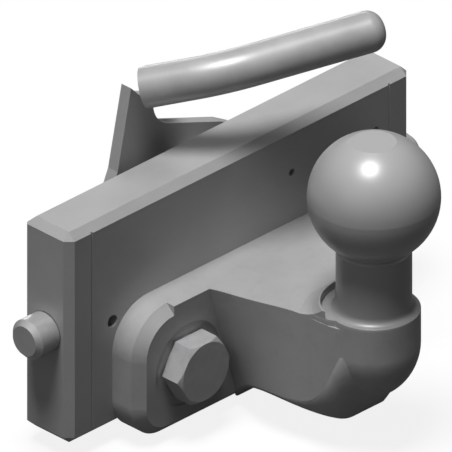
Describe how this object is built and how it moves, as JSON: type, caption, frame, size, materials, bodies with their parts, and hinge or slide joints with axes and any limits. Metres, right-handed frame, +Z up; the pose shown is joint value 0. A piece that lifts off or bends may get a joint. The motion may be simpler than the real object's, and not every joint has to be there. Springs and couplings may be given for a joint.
{
  "type": "ball coupling",
  "caption": "Towing ball on a forged bracket bolted to a slide plate, with locking pins drawn in by a lever at the back.",
  "frame": {"origin": "centre of the ball", "axes": "+Z up along the neck, +Y from the ball to the slide plate, +X along the slide plate"},
  "size_m": [0.202, 0.145, 0.1413],
  "materials": {
    "plate_steel": "milled",
    "forged_steel": "forged",
    "turned_steel": "turned",
    "sheet_steel": "satin",
    "handle_steel": "satin",
    "fastener_steel": "satin",
    "spring_steel": "satin"
  },
  "bodies": {
    "plate": {"slide_plate": "plate_steel", "ball_bracket": "forged_steel", "bracket_bolt_left": "fastener_steel", "bracket_bolt_right": "fastener_steel", "pivot_shaft": "turned_steel", "pivot_washer": "fastener_steel", "pivot_nut": "fastener_steel"},
    "lever": {"cam_disc": "sheet_steel", "lever_plate": "sheet_steel", "lever_handle": "handle_steel", "lever_rivet_upper": "fastener_steel", "lever_rivet_lower": "fastener_steel"},
    "pin_left": {"locking_pin_left": "turned_steel", "cam_follower_left": "turned_steel", "pin_spring_left": "spring_steel"},
    "pin_right": {"locking_pin_right": "turned_steel", "cam_follower_right": "turned_steel", "pin_spring_right": "spring_steel"}
  },
  "joints": [
    {"name": "lever_turn", "type": "hinge", "parent": "plate", "child": "lever", "pos_m": [0, 0.1, -0.0545], "axis": [0, -1, 0], "range_deg": [0, 24]},
    {"name": "pin_left_slide", "type": "slide", "parent": "plate", "child": "pin_left", "axis": [1, 0, 0], "range_m": [0, 0.011], "stiffness_N_per_m": 2000, "springref_m": -0.02, "deforming": ["pin_spring_left"]},
    {"name": "pin_right_slide", "type": "slide", "parent": "plate", "child": "pin_right", "axis": [-1, 0, 0], "range_m": [0, 0.011], "stiffness_N_per_m": 2000, "springref_m": -0.02, "deforming": ["pin_spring_right"]}
  ],
  "couplings": [
    {"joint": "pin_left_slide", "follows": "lever_turn", "m_per_rad": 0.02626},
    {"joint": "pin_right_slide", "follows": "lever_turn", "m_per_rad": 0.02626}
  ]
}
